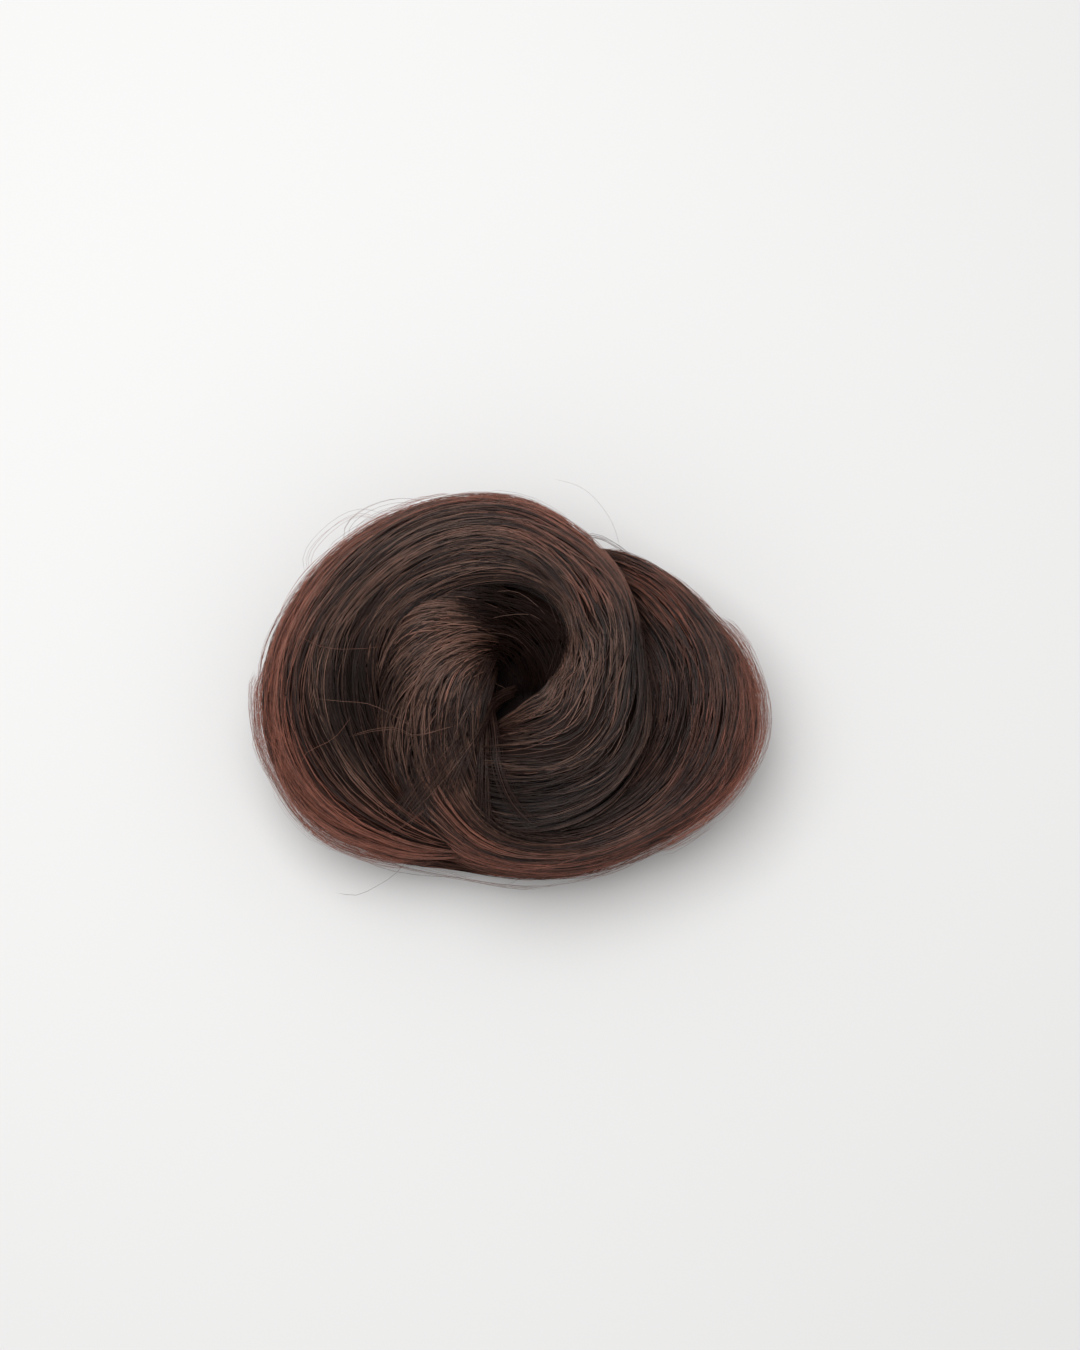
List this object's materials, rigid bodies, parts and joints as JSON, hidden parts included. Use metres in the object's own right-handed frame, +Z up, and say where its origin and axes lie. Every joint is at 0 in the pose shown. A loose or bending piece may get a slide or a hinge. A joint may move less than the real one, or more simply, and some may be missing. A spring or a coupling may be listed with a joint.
{
  "type": "top knot hairpiece",
  "caption": "False top knot: long locks of hair wound over a low coil, sewn to an elastic loop that grips the wearer's own knot of hair in a hollow underneath.",
  "frame": {"origin": "centre of the footprint on the surface it rests on", "axes": "+Z up out of the surface, +X along the longer side of the knot, +Y to the back, away from the seam of the locks"},
  "size_m": [0.1135, 0.0861, 0.0474],
  "materials": {
    "crown_hair": "dark brown hair, soft gloss along the strands, auburn towards the outer rim",
    "wrap_hair": "dark brown hair, soft gloss along the strands, auburn towards the outer rim",
    "base_hair": "auburn hair, loosely laid",
    "elastic_cloth": "near-black braided elastic"
  },
  "bodies": {
    "root": {"crown_lock": "crown_hair", "wrap_lock": "wrap_hair", "base_coil": "base_hair", "elastic_loop": "elastic_cloth"}
  },
  "joints": []
}
